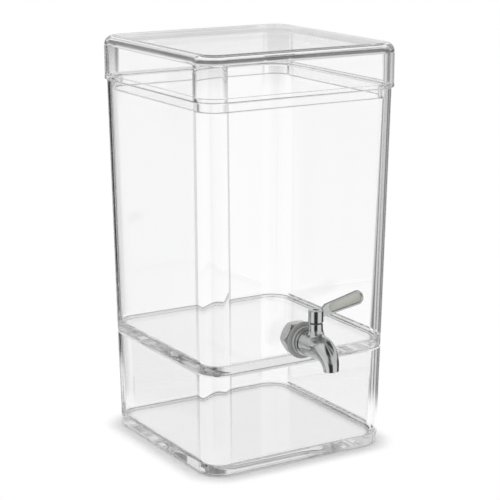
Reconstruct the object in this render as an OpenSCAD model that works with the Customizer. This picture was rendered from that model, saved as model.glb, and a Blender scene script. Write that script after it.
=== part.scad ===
// Countertop juice dispenser: a clear square tank with a lift-off lid, standing on a clear
// square base, with a stainless quarter-turn tap low on the front face.
// Millimetres, +Z up, the tap points to -Y, origin at the centre of the base's underside.

/* [Base] */
// height of the base, table to rim
base_h = 88; // [80:1:94]
// width of the base and of the tank at the joint between them
base_width = 180; // [170:1:188]
// how much each side of the base draws in towards the table
base_inset = 1.6; // [0.4:0.1:2.4]
// thickness of the base floor
base_floor = 9.3; // [6:0.1:11]
// rounding of the base's lower outer edge
base_edge_r = 3.6; // [2:0.2:4.6]

/* [Mouldings] */
// wall of the lid, the tank and the base
wall = 3; // [2.6:0.1:3.4]
// plan rounding of the vertical corners of the base and at the joint
corner_r = 21; // [16:0.5:26]
// plan rounding of the vertical corners at the tank rim and of the lid
rim_r = 20.5; // [16:0.5:26]
// rounding where a floor meets the walls inside
inner_r = 2; // [1:0.1:2.4]

/* [Tank] */
// height of the tank, joint to rim
tank_h = 225.5; // [200:0.5:250]
// how much each side of the tank leans out, joint to rim
tank_flare = 3.7; // [1:0.1:5]
// thickness of the solid tank floor
tank_floor = 7.4; // [6.5:0.1:9]
// rounding of the tank's lower outer edge
tank_edge_r = 2.4; // [1.2:0.1:2.5]
// depth of the step under the tank that drops inside the base rim
foot_h = 2; // [1:0.1:4]
// clearance around that step
foot_gap = 0.5; // [0.3:0.05:0.9]

/* [Lid] */
// height of the lid above the tank rim
lid_h = 37.5; // [28:0.5:48]
// how far the lid stands out past the tank rim
lid_over = 1.6; // [0.5:0.1:2.4]
// rounding of the lid's upper edge
lid_edge_r = 8; // [5:0.5:11]
// how far the lid's plug ring reaches down inside the tank
plug_h = 8.8; // [5:0.1:14]
// wall of the plug ring
plug_wall = 2.6; // [2:0.1:3.2]
// clearance between the plug ring and the tank wall
plug_gap = 0.4; // [0.3:0.05:0.8]

/* [Tap mounting] */
// clear height left under the inner gasket and the nut at the tank floor
gasket_clear = 0.4; // [0.4:0.1:10]
// outside diameter of the tap's threaded shank
shank_d = 16; // [15:0.5:17]
// clearance of the shank in the tank wall, per side
hole_gap = 0.4; // [0.3:0.05:0.7]
// diameter of the gasket outside the wall
gasket_d = 31.6; // [29:0.2:34]
// diameter of the gasket inside the wall
inner_gasket_d = 20.8; // [20:0.2:22]
// thickness of each gasket
gasket_t = 2; // [1.6:0.1:2.6]
// diameter of the dress washer under the tap flange
dress_d = 24.8; // [24:0.2:27]
// thickness of the dress washer
dress_t = 2; // [1.4:0.1:2.6]
// size of the hexagon nut across its flats
nut_af = 25; // [24:0.1:25.6]
// thickness of the nut
nut_t = 10; // [7:0.5:12]
// length of shank that stands past the nut
shank_past = 2.5; // [1:0.1:5]

/* [Tap body] */
// diameter of the flange
flange_d = 23.6; // [22.8:0.2:25]
// thickness of the flange
flange_t = 4.2; // [3:0.1:5]
// distance from the tank wall to the valve axis
stem_out = 19.1; // [18.4:0.1:21]
// radius of the spout where it leaves the flange
spout_r0 = 10.6; // [10:0.1:10.8]
// radius of the spout where its bend starts
spout_r1 = 10.3; // [9.6:0.1:10.5]
// radius of the spout where its bend ends
spout_r2 = 6.3; // [6.2:0.1:7]
// radius of the spout at its outlet
spout_r3 = 6; // [5.8:0.05:6.2]
// distance from the valve axis to the start of the bend
bend_out = 7.8; // [6:0.1:10]
// radius of the bend along the middle of the spout
bend_r = 15.5; // [14:0.5:19]
// angle through which the spout turns down
bend_a = 84; // [75:1:90]
// straight length after the bend
outlet_l = 2.5; // [1:0.1:4]
// bore of the waterway through the shank
inlet_d = 8.4; // [7:0.1:8.8]
// wall of the spout around the waterway
spout_wall = 1.4; // [1:0.1:1.8]
// bevel on the flange's front edge
flange_bevel = 0.6; // [0.2:0.1:1]
// diameter of the valve housing
housing_d = 11.7; // [11.5:0.1:12.6]
// height of the housing above the tap axis
housing_up = 19.4; // [18:0.1:21]

/* [Valve] */
// bore of the valve housing
chamber_d = 9; // [8.8:0.1:9.4]
// depth of that bore below the waterway
chamber_below = 2; // [1:0.1:3]
// height of the spindle shoulder above the waterway
shoulder_up = 4.6; // [3:0.1:5]
// diameter of the spindle where it carries the cross port
plug_d = 6.94; // [6.6:0.02:7]
// diameter of the spindle neck
neck_d = 5.1; // [4.9:0.1:5.3]
// bore of the cross port through the spindle
port_d = 4.4; // [3.4:0.1:4.8]
// side of the square drive on top of the spindle
drive_width = 3.4; // [3.2:0.05:3.4]
// room around the O-ring's section in its groove, per side
ring_gap = 0.08; // [0.04:0.01:0.15]
// depth of the gland ring below the top of the housing
gland_sink = 0.3; // [0.1:0.05:0.6]
// width and depth of the key slot across the gland ring
gland_slot = 1.2; // [0.8:0.1:1.6]
// running clearance between turning and still pieces, per side
run_gap = 0.05; // [0.03:0.01:0.09]
// thickness of the thrust washer under the lever cap
thrust_t = 1.15; // [0.9:0.05:1.6]
// how far the thrust washer stays inside the housing's rim
thrust_inset = 0.9; // [0.5:0.1:1.2]

/* [Lever] */
// diameter of the lever cap
cap_d = 12.8; // [12:0.1:14]
// height of the lever cap
cap_h = 10; // [9.4:0.1:12]
// length of the lever from the valve axis to its tip
lever_l = 47.6; // [40:0.2:56]
// radius of the lever tip
lever_tip_r = 6.1; // [5:0.1:7]
// angle of each long edge of the lever to its middle line
lever_taper = 1.9; // [1:0.1:5]
// thickness of the lever
lever_t = 2.6; // [2.2:0.1:3.2]
// upward slope of the lever
lever_rise = 11.1; // [4:0.1:16]
// lean of the lever's broad face, 90 is upright
lever_lean = 78; // [65:1:90]
// height of the cap's top above the lever's middle line, at the axis
lever_down = 3.3; // [3:0.1:4]
// depth to which the lever's root is sunk in the cap
root_sunk = 1.4; // [1:0.1:2]
// rounding of the root's corners
root_r = 1.2; // [0.8:0.1:1.6]
// height of the root's top over the lever's middle line
root_up = 2; // [1.6:0.1:2.6]
// distance from the cap to the middle of the shoulder's rounding
shoulder_start = 4.6; // [3:0.2:7]
// rounding of the shoulder
shoulder_r = 2.5; // [1.5:0.1:3.5]
// bevel on the cap's top edge
cap_bevel = 0.5; // [0.2:0.1:1]
// depth of the thumb recess
recess_depth = 0.5; // [0.2:0.05:0.9]
// rim left around the thumb recess
recess_rim = 1.5; // [1:0.1:1.8]
// distance from the cap to the middle of the recess's round end
recess_start = 11; // [9:0.2:14]

/* [Handle screw] */
// thread diameter of the handle screw
screw_d = 2; // [1.6:0.1:2.2]
// head diameter of the handle screw
screw_head_d = 4.6; // [4:0.1:5]
// head height of the handle screw
screw_head_h = 1.6; // [1.2:0.1:1.8]
// depth of the screw head below the cap's top
screw_sink = 0.8; // [0.3:0.1:1.6]
// size of the screw's hexagon socket across its corners
screw_key = 2.2; // [1.6:0.1:2.6]
// thread length in the spindle
screw_grip = 5; // [3:0.1:5.5]
// thickness of cap under the screw head
web_t = 1.4; // [1:0.1:2]

/* [Hidden] */
$fn = 96;

// points on each plan corner of a moulding, and rings on each rounded edge
corner_steps = 8;
edge_steps = 5;
// rings along the spout and points round it
spout_steps = 12;
spout_points = 36;
// points on each round end of the lever
tip_steps = 24;
// how far a cutter runs past the face it cuts
past = 1;

tank_z = base_h;
rim_z = tank_z + tank_h;
top_z = rim_z + lid_h;
half_joint = base_width / 2;
half_rim = half_joint + tank_flare;
lid_half = half_rim + lid_over;
draft_deg = atan(tank_flare / tank_h);
ledge_t = wall;
ceiling_r = lid_edge_r - wall;

tap_z = tank_z + tank_floor + gasket_clear + max(inner_r + inner_gasket_d / 2, nut_af / 2);
wall_y = tank_half(tap_z);
stem_y = -(wall_y + stem_out);
flange_back = gasket_t + dress_t;
flange_front = flange_back + flange_t;
nut_in = wall + gasket_t;
shank_in = nut_in + nut_t + shank_past;
bend_start = stem_out + bend_out;
housing_z = tap_z + housing_up;
cap_z = housing_z + thrust_t + run_gap;
cap_top = cap_z + cap_h;

chamber_r = chamber_d / 2;
neck_r = neck_d / 2;
plug_r = plug_d / 2;
chamber_floor = tap_z - inlet_d / 2 - chamber_below;
shoulder_z = tap_z + inlet_d / 2 + shoulder_up;
ring_section = chamber_r - neck_r - 2 * ring_gap;
gland_z = shoulder_z + ring_section + 2 * ring_gap;
gland_top = housing_z - gland_sink;
// fixed fit between still pieces, and the wider room around a screw, shank or head
fit_gap = 0.05;
seat_gap = 0.3;

head_z = cap_top - screw_sink - screw_head_h;
web_z = head_z - web_t;
drive_top = web_z - seat_gap;
screw_end = drive_top - screw_grip;

// half width of the tank and of the base at a height
function tank_half(z) = half_joint + tank_flare * (z - tank_z) / tank_h;
function base_half(z) = half_joint - base_inset * (base_h - z) / base_h;

// plan outline with rounded corners, counter-clockwise from above
function rounded_ring(half, r, z) = [
    for (k = [0:3], i = [0:corner_steps])
        let (a = 90 * k + 90 * i / corner_steps, c = half - r,
             sx = (k == 0 || k == 3) ? 1 : -1, sy = k < 2 ? 1 : -1)
            [sx * c + r * cos(a), sy * c + r * sin(a), z]];

// circle across the spout: t is how far the spout has turned down
function spout_ring(y, z, t, r) = [
    for (i = [0:spout_points - 1])
        let (q = 360 * i / spout_points)
            [r * cos(q), y - r * sin(q) * sin(t), z + r * sin(q) * cos(t)]];

// direction that the tangent from disc a to disc b faces: each disc is [x, y, radius]
function tangent_turn(a, b) =
    atan2(b.y - a.y, b.x - a.x) - acos((a.z - b.z) / norm([b.x - a.x, b.y - a.y]));

// outline wrapped round discs that follow each other anticlockwise
function wrapped(discs) = let (n = len(discs)) [
    for (i = [0:n - 1])
        let (disc = discs[i], first = tangent_turn(discs[(i + n - 1) % n], disc),
             arc = (tangent_turn(disc, discs[(i + 1) % n]) - first + 720) % 360)
            for (k = [0:tip_steps]) let (a = first + arc * k / tip_steps)
                [disc.x + disc.z * cos(a), disc.y + disc.z * sin(a)]];

// solid through a list of rings
module loft(rings) {
    n = len(rings[0]);
    m = len(rings);
    points = [for (ring = rings, p = ring) p];
    sides = [for (j = [0:m - 2], i = [0:n - 1])
        let (k = (i + 1) % n) [j * n + i, (j + 1) * n + i, (j + 1) * n + k, j * n + k]];
    first = [for (i = [0:n - 1]) i];
    last = [for (i = [0:n - 1]) m * n - 1 - i];
    polyhedron(points, concat(sides, [first, last]));
}

// hollow ring about Z
module ring_z(r_out, r_in, h) {
    difference() {
        cylinder(r = r_out, h = h);
        translate([0, 0, -past]) cylinder(r = r_in, h = h + 2 * past);
    }
}

// turns local Z to the tap's outward direction, starting on the tank wall at the tap axis
module on_tap_axis(out = 0) {
    translate([0, -(wall_y + out), tap_z]) rotate([90, 0, 0]) children();
}

// everything on one side of a plane that lies along the leaning tank wall
module wall_side(depth, inward) {
    reach = 4 * gasket_d;
    translate([0, -(wall_y - depth), tap_z]) rotate([draft_deg, 0, 0])
        translate([-reach / 2, inward ? 0 : -reach, -reach / 2]) cube(reach);
}

// base: open box with a thick floor
module base() {
    color([0.93, 0.95, 0.96, 0.35])
    difference() {
        loft(concat(
            [for (k = [0:edge_steps])
                let (a = 90 * k / edge_steps, z = base_edge_r * (1 - cos(a)),
                     d = base_edge_r * (1 - sin(a)))
                    rounded_ring(base_half(z) - d, corner_r - d, z)],
            [rounded_ring(half_joint, corner_r, base_h)]));
        loft(concat(
            [for (k = [0:edge_steps])
                let (a = 90 * k / edge_steps, z = base_floor + inner_r * (1 - cos(a)),
                     d = wall + inner_r * (1 - sin(a)))
                    rounded_ring(base_half(z) - d, corner_r - d, z)],
            [for (z = [base_h, base_h + past]) rounded_ring(half_joint - wall, corner_r - wall, z)]));
    }
}

// tank: open box with a solid floor, a step that drops inside the base, and the tap hole
module tank() {
    foot_half = half_joint - wall - foot_gap;
    foot_r = corner_r - wall - foot_gap;
    color([0.93, 0.95, 0.96, 0.35])
    difference() {
        union() {
            loft(concat(
                [for (k = [0:edge_steps])
                    let (a = 90 * k / edge_steps, up = tank_edge_r * (1 - cos(a)),
                         d = tank_edge_r * (1 - sin(a)))
                        rounded_ring(tank_half(tank_z + up) - d, corner_r - d, tank_z + up)],
                [rounded_ring(half_rim, rim_r, rim_z)]));
            loft([rounded_ring(foot_half, foot_r, tank_z - foot_h),
                rounded_ring(foot_half, foot_r, tank_z + past)]);
        }
        loft(concat(
            [for (k = [0:edge_steps])
                let (a = 90 * k / edge_steps, z = tank_z + tank_floor + inner_r * (1 - cos(a)),
                     d = wall + inner_r * (1 - sin(a)))
                    rounded_ring(tank_half(z) - d, corner_r - d, z)],
            [for (z = [rim_z, rim_z + past]) rounded_ring(half_rim - wall, rim_r - wall, z)]));
        on_tap_axis(-2 * wall) cylinder(d = shank_d + 2 * hole_gap, h = 4 * wall);
    }
}

// lid: deep cap that stands on the tank rim, with a plug ring inside the rim
module lid() {
    plug_half = half_rim - wall - plug_gap - tank_flare * plug_h / tank_h;
    plug_r_plan = rim_r - wall - plug_gap;
    color([0.93, 0.95, 0.96, 0.35])
    difference() {
        union() {
            loft(concat(
                [rounded_ring(lid_half, rim_r, rim_z)],
                [for (k = [0:edge_steps])
                    let (a = 90 * k / edge_steps, d = lid_edge_r * (1 - cos(a)))
                        rounded_ring(lid_half - d, rim_r - d, top_z - lid_edge_r * (1 - sin(a)))]));
            loft([rounded_ring(plug_half, plug_r_plan, rim_z - plug_h),
                rounded_ring(plug_half, plug_r_plan, rim_z + past)]);
        }
        loft([rounded_ring(plug_half - plug_wall, plug_r_plan - plug_wall, rim_z - plug_h - past),
            rounded_ring(plug_half - plug_wall, plug_r_plan - plug_wall, rim_z + ledge_t + past)]);
        loft(concat(
            [rounded_ring(lid_half - wall, rim_r - wall, rim_z + ledge_t)],
            [for (k = [0:edge_steps])
                let (a = 90 * k / edge_steps, d = wall + ceiling_r * (1 - cos(a)))
                    rounded_ring(lid_half - d, rim_r - d,
                        top_z - wall - ceiling_r * (1 - sin(a)))]));
    }
}

// soft gasket between the tank wall and the dress washer, cut to the lean of the wall
module outer_gasket() {
    color([0.61, 0.62, 0.61])
    difference() {
        on_tap_axis(-past) ring_z(gasket_d / 2, shank_d / 2 + seat_gap, gasket_t + past);
        wall_side(0, true);
    }
}

// plain washer that the tap flange bears on
module dress_washer() {
    color([0.72, 0.73, 0.73])
    on_tap_axis(gasket_t) ring_z(dress_d / 2, shank_d / 2 + seat_gap, dress_t);
}

// soft gasket inside the tank, cut to the lean of the wall
module inner_gasket() {
    color([0.61, 0.62, 0.61])
    difference() {
        on_tap_axis(-nut_in) ring_z(inner_gasket_d / 2, shank_d / 2 + seat_gap, gasket_t + past);
        wall_side(wall, false);
    }
}

// hexagon nut on the shank, both ends chamfered
module tap_nut() {
    nut_across = nut_af / cos(30);
    chamfer = (nut_across - nut_af) / 2;
    color([0.78, 0.79, 0.80])
    on_tap_axis(-nut_in - nut_t)
    difference() {
        intersection() {
            cylinder(d = nut_across, h = nut_t, $fn = 6);
            rotate_extrude() polygon([[0, 0], [nut_af / 2, 0], [nut_across / 2, chamfer],
                [nut_across / 2, nut_t - chamfer], [nut_af / 2, nut_t], [0, nut_t]]);
        }
        translate([0, 0, -past]) cylinder(r = shank_d / 2 + fit_gap, h = nut_t + 2 * past);
    }
}

// tap casting: shank, flange, spout and valve housing, bored for the waterway and the valve
module tap_body() {
    turn = [for (k = [0:spout_steps]) bend_a * k / spout_steps];
    bend_z = tap_z - bend_r;
    bend_y = -(wall_y + bend_start);
    end_y = bend_y - bend_r * sin(bend_a);
    end_z = bend_z + bend_r * cos(bend_a);
    mouth_y = end_y - outlet_l * cos(bend_a);
    mouth_z = end_z - outlet_l * sin(bend_a);
    outlet_r = spout_r3 - spout_wall;
    color([0.80, 0.80, 0.79])
    difference() {
        union() {
            on_tap_axis(-shank_in) cylinder(d = shank_d, h = shank_in + flange_back + past);
            on_tap_axis(flange_back) rotate_extrude() polygon([[0, 0], [flange_d / 2, 0],
                [flange_d / 2, flange_t - flange_bevel],
                [flange_d / 2 - flange_bevel, flange_t], [0, flange_t]]);
            loft(concat(
                [spout_ring(-(wall_y + flange_front - past), tap_z, 0, spout_r0)],
                [for (k = [0:spout_steps])
                    spout_ring(bend_y - bend_r * sin(turn[k]), bend_z + bend_r * cos(turn[k]),
                        turn[k], spout_r1 + (spout_r2 - spout_r1) * k / spout_steps)],
                [spout_ring(mouth_y, mouth_z, bend_a, spout_r3)]));
            translate([0, stem_y, tap_z]) cylinder(d = housing_d, h = housing_up);
        }
        // waterway in, waterway out, the bend and the mouth
        on_tap_axis(-shank_in - past) cylinder(d = inlet_d, h = shank_in + stem_out + past);
        on_tap_axis(stem_out) cylinder(r = outlet_r, h = bend_out);
        translate([0, bend_y, bend_z]) rotate([90, 0, -90]) rotate([0, 0, 90 - bend_a])
            rotate_extrude(angle = bend_a) translate([bend_r, 0]) circle(r = outlet_r);
        translate([0, end_y, end_z]) rotate([90 + bend_a, 0, 0])
            cylinder(r = outlet_r, h = outlet_l + past);
        // valve chamber from the top of the housing
        translate([0, stem_y, chamber_floor])
            cylinder(d = chamber_d, h = housing_z - chamber_floor + past);
    }
}

// sealing sleeve in the valve chamber, with a window on each side of the waterway
module valve_sleeve() {
    color([0.92, 0.92, 0.90])
    difference() {
        translate([0, stem_y, chamber_floor])
            ring_z(chamber_r - fit_gap, plug_r + run_gap, shoulder_z - chamber_floor - seat_gap);
        on_tap_axis(stem_out - chamber_d) cylinder(d = port_d + seat_gap, h = 2 * chamber_d);
    }
}

// valve spindle: ported plug, neck and square drive, tapped for the handle screw
module valve_spindle() {
    color([0.76, 0.77, 0.78])
    translate([0, stem_y, 0])
    difference() {
        union() {
            translate([0, 0, chamber_floor + run_gap])
                cylinder(r = plug_r, h = shoulder_z - chamber_floor - run_gap);
            translate([0, 0, shoulder_z - past]) cylinder(r = neck_r, h = cap_z - shoulder_z + past);
            translate([-drive_width / 2, -drive_width / 2, cap_z - past])
                cube([drive_width, drive_width, drive_top - cap_z + past]);
        }
        translate([-chamber_d, 0, tap_z]) rotate([0, 90, 0]) cylinder(d = port_d, h = 2 * chamber_d);
        translate([0, 0, screw_end - past])
            cylinder(d = screw_d + 2 * fit_gap, h = drive_top - screw_end + 2 * past);
    }
}

// O-ring on the spindle neck, between the spindle shoulder and the gland ring
module spindle_o_ring() {
    color([0.12, 0.12, 0.12])
    translate([0, stem_y, shoulder_z + ring_section / 2 + ring_gap])
        rotate_extrude() translate([(neck_r + chamber_r) / 2, 0]) circle(d = ring_section);
}

// gland ring screwed into the housing, slotted for its key
module gland_ring() {
    color([0.74, 0.66, 0.42])
    translate([0, stem_y, gland_z])
    difference() {
        ring_z(chamber_r - fit_gap, neck_r + run_gap, gland_top - gland_z);
        translate([-chamber_d, -gland_slot / 2, gland_top - gland_z - gland_slot])
            cube([2 * chamber_d, gland_slot, gland_slot + past]);
    }
}

// thrust washer that the lever cap turns on
module thrust_washer() {
    color([0.15, 0.15, 0.16])
    translate([0, stem_y, housing_z])
        ring_z(housing_d / 2 - thrust_inset, neck_r + seat_gap, thrust_t);
}

// lever: round cap with a broad sloping paddle
module lever() {
    tip_x = lever_l - lever_tip_r;
    root_x = cap_d / 2 - root_sunk;
    dish_x = cap_d / 2 + recess_start;
    shoulder_x = cap_d / 2 + shoulder_start;
    slope = sin(lever_taper);
    // how far the middle of a rounding that touches a long edge lies from the middle line
    function beside_edge(x, r) = (lever_tip_r - r - (tip_x - x) * slope) / cos(lever_taper);
    dish_r = lever_tip_r - recess_rim;
    dish_root_r = dish_r - (tip_x - dish_x) * slope;
    socket = drive_width + 2 * fit_gap;
    color([0.80, 0.80, 0.79])
    translate([0, stem_y, cap_z])
    difference() {
        union() {
            rotate_extrude() polygon([[0, 0], [cap_d / 2, 0], [cap_d / 2, cap_h - cap_bevel],
                [cap_d / 2 - cap_bevel, cap_h], [0, cap_h]]);
            translate([0, 0, cap_h - lever_down]) rotate([0, -lever_rise, 0]) rotate([lever_lean, 0, 0])
            difference() {
                translate([0, 0, -lever_t / 2]) linear_extrude(lever_t)
                    polygon(wrapped([[tip_x, 0, lever_tip_r],
                        [shoulder_x, beside_edge(shoulder_x, shoulder_r), shoulder_r],
                        [root_x, root_up - root_r, root_r], [root_x, -beside_edge(root_x, root_r), root_r]]));
                translate([0, 0, lever_t / 2 - recess_depth]) linear_extrude(recess_depth + past)
                    polygon(wrapped([[tip_x, 0, dish_r], [dish_x, 0, dish_root_r]]));
            }
        }
        translate([-socket / 2, -socket / 2, -past])
            cube([socket, socket, web_z - cap_z + past]);
        translate([0, 0, -past]) cylinder(d = screw_d + 2 * seat_gap, h = cap_h + 2 * past);
        translate([0, 0, head_z - cap_z])
            cylinder(d = screw_head_d + 2 * seat_gap, h = cap_h);
    }
}

// socket screw that holds the lever on the spindle
module handle_screw() {
    color([0.72, 0.73, 0.74])
    translate([0, stem_y, 0])
    difference() {
        union() {
            translate([0, 0, screw_end]) cylinder(d = screw_d, h = head_z - screw_end + fit_gap);
            translate([0, 0, head_z]) cylinder(d = screw_head_d, h = screw_head_h);
        }
        translate([0, 0, head_z + screw_head_h / 2]) cylinder(d = screw_key, h = screw_head_h, $fn = 6);
    }
}

base();
tank();
lid();
outer_gasket();
dress_washer();
inner_gasket();
tap_nut();
tap_body();
valve_sleeve();
valve_spindle();
spindle_o_ring();
gland_ring();
thrust_washer();
lever();
handle_screw();
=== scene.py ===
"""Looks of a clear square juice dispenser with a steel quarter-turn tap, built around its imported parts.

Sizes stand in millimetres in the classes and turn to metres when a mesh is made. +Z is up, the tap points
to -Y, and the origin is at the centre of the base's underside.
"""
import logging
import math
from collections.abc import Sequence
from dataclasses import dataclass, field
from enum import Enum
from functools import partial
from typing import ClassVar

import bmesh
import bpy
from mathutils import Matrix, Vector


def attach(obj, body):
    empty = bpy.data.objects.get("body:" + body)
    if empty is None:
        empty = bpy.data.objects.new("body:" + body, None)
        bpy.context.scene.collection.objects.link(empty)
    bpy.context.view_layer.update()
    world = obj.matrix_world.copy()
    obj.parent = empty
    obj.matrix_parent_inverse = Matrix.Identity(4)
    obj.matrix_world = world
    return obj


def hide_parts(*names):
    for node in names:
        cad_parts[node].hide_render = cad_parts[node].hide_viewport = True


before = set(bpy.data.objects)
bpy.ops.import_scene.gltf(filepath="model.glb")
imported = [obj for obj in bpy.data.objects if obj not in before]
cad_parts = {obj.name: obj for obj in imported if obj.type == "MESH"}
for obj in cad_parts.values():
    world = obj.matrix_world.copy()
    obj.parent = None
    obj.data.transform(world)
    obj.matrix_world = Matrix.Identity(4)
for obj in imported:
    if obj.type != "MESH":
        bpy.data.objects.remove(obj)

MM = 0.001
UM = 1e-6
# a length or a share so small that it counts as none
TINY = 1e-6
# a flat shorter than this many holds gets no holding point
HOLD_ROOM = 2.5
log = logging.getLogger("juice_dispenser")

Shell = tuple[list[Vector], list[tuple[int, ...]]]
Sum = tuple[str | float, ...]


class Body(Enum):
    """The moving bodies that a piece can ride on."""

    BASE = "base"
    TANK = "tank"
    LID = "lid"
    LEVER = "lever"


class Slot(Enum):
    """The record's material slots."""

    ACRYLIC = "clear_acrylic"
    SILICONE = "silicone_grey"
    NYLON_GREY = "nylon_grey"
    POLISHED = "polished_steel"
    SATIN = "satin_steel"
    PTFE = "ptfe_white"
    RUBBER = "rubber_black"
    BRASS = "brass"
    NYLON_BLACK = "nylon_black"


# Nodes and colours


def linear(code: str) -> tuple[float, float, float, float]:
    """Turns an sRGB hex value to linear light.

    Args:
        code: the colour as "#RRGGBB".

    Returns:
        Red, green, blue and an alpha of 1.
    """
    parts = [int(code[i:i + 2], 16) / 255 for i in (1, 3, 5)]
    return (*(c / 12.92 if c <= 0.04045 else ((c + 0.055) / 1.055) ** 2.4 for c in parts), 1.0)


def add_node(tree: bpy.types.NodeTree, kind: str, inputs: dict | None = None, **settings) -> bpy.types.Node:
    """Adds a node with its settings, values and links.

    Args:
        tree: the tree that gets the node.
        kind: Blender's name for the node's type.
        inputs: for each input, by name or number, a value or the socket to link from.
        settings: the node's own properties.

    Returns:
        The new node.
    """
    node = tree.nodes.new(kind)
    for name, value in settings.items():
        setattr(node, name, value)
    for key, value in (inputs or {}).items():
        if isinstance(value, bpy.types.NodeSocket):
            tree.links.new(value, node.inputs[key])
        else:
            node.inputs[key].default_value = value
    return node


def work_out(tree: bpy.types.NodeTree, sums: Sequence[Sum], known: dict) -> None:
    """Adds a chain of sums to a tree, each on values that are named already.

    Args:
        tree: the tree that gets the nodes.
        sums: rows of result name, operation and operands, which are names or numbers.
        known: the named sockets, to which each result is added.
    """
    for name, operation, *operands in sums:
        inputs = {i: known.get(x, x) if isinstance(x, str) else x for i, x in enumerate(operands)}
        known[name] = add_node(tree, "ShaderNodeMath", inputs, operation=operation).outputs[0]


def smooth_span(tree: bpy.types.NodeTree, known: dict, name: str, source: str, low: float, high: float,
                first: float = 0.0, last: float = 1.0) -> None:
    """Adds a smooth step of a named value to a tree.

    Args:
        tree: the tree that gets the node.
        known: the named sockets, to which the result is added.
        name: the result's name.
        source: the value's name.
        low: the value at which the step starts.
        high: the value at which it ends.
        first: the result before the step.
        last: the result after it.
    """
    inputs = {"Value": known[source], "From Min": low, "From Max": high, "To Min": first, "To Max": last}
    step = add_node(tree, "ShaderNodeMapRange", inputs, interpolation_type="SMOOTHSTEP")
    known[name] = step.outputs["Result"]


def mixed(tree: bpy.types.NodeTree, share: float | bpy.types.NodeSocket, first: bpy.types.Node,
          second: bpy.types.Node) -> bpy.types.Node:
    """Returns the mix of two shaders: the first at a share of 0, the second at 1."""
    return add_node(tree, "ShaderNodeMixShader", {0: share, 1: first.outputs[0], 2: second.outputs[0]})


def blank_material(name: str) -> tuple[bpy.types.Material, bpy.types.NodeTree]:
    """Makes a material with an empty tree.

    Args:
        name: the material's name.

    Returns:
        The material and its tree.
    """
    material = bpy.data.materials.new(name)
    material.use_nodes = True
    material.node_tree.nodes.clear()
    return material, material.node_tree


def roughened(tree: bpy.types.NodeTree, height: bpy.types.NodeSocket, um: float) -> bpy.types.NodeSocket:
    """Returns the normal of a face with a given relief, in micrometres."""
    relief = {"Strength": 1.0, "Distance": um * UM, "Height": height}
    return add_node(tree, "ShaderNodeBump", relief).outputs["Normal"]


# Finishes


@dataclass(frozen=True)
class ClearAcrylic:
    """Injection-moulded clear acrylic, polished in the mould: see-through walls, grey lines at edges."""

    name: str = "acrylic_moulded_clear"
    # how strongly it bends light in a rounding and where a rounding runs out into a level wall
    ior: float = 1.49
    least_ior: float = 1.001
    roughness: float = 0.0
    # the faint grey of a thick edge: what is left of white light, and how fast it fades per metre
    edge_tint: str = "#DADBDA"
    edge_density: float = 4.0
    # waves left by the flow of the melt: their length and their height
    ripple_mm: float = 48.0
    ripple_um: float = 26.0
    # share of a level wall that bends light: the rest goes straight through both of its faces
    bent: float = 0.01
    # what each face of a level wall lets through of white light: white lets it all through, and any grey is
    # painted shade
    level_painted_shade: str = "#FFFFFF"
    # name of the value that says how much of the bending a point has, from a level wall to a rounding
    BEND: ClassVar[str] = "bend"

    def make(self, level: bool = False) -> bpy.types.Material:
        """Makes the material.

        Args:
            level: for a level wall, where light leaves the way it came and only the gloss shows.

        Returns:
            The material.
        """
        material, tree = blank_material(self.name + ("_sheet" if level else "_edge"))
        place = add_node(tree, "ShaderNodeTexCoord").outputs["Object"]
        ripple = add_node(tree, "ShaderNodeTexNoise", {"Vector": place, "Scale": 1 / (self.ripple_mm * MM),
                                                       "Detail": 1.0, "Roughness": 0.35})
        bump = roughened(tree, ripple.outputs["Fac"], self.ripple_um)
        surface = add_node(tree, "ShaderNodeBsdfPrincipled", {
            "Base Color": (1, 1, 1, 1), "Roughness": self.roughness, "IOR": self.ior,
            "Transmission Weight": 1.0, "Normal": bump})
        if not level:
            bend = add_node(tree, "ShaderNodeAttribute", attribute_name=self.BEND).outputs["Fac"]
            ior = add_node(tree, "ShaderNodeMapRange", {"Value": bend, "To Min": self.least_ior,
                                                        "To Max": self.ior})
            tree.links.new(ior.outputs["Result"], surface.inputs["IOR"])
        else:
            # the gloss of a face, which rises steeply towards a grazing look
            head_on = ((self.ior - 1) / (self.ior + 1)) ** 2
            known = {"facing": add_node(tree, "ShaderNodeLayerWeight", {"Blend": 0.5}).outputs["Facing"]}
            work_out(tree, [("gloss", "POWER", "facing", 5.0), ("gloss", "MULTIPLY", "gloss", 1 - head_on),
                            ("gloss", "ADD", "gloss", head_on)], known)
            through = add_node(tree, "ShaderNodeBsdfTransparent", {"Color": linear(self.level_painted_shade)})
            mirror = add_node(tree, "ShaderNodeBsdfAnisotropic", {
                "Color": (1, 1, 1, 1), "Roughness": self.roughness, "Normal": bump})
            surface = mixed(tree, self.bent, mixed(tree, known["gloss"], through, mirror), surface)
        fade = add_node(tree, "ShaderNodeVolumeAbsorption", {"Color": linear(self.edge_tint),
                                                             "Density": self.edge_density})
        add_node(tree, "ShaderNodeOutputMaterial", {"Surface": surface.outputs[0],
                                                    "Volume": fade.outputs["Volume"]})
        return material


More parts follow.
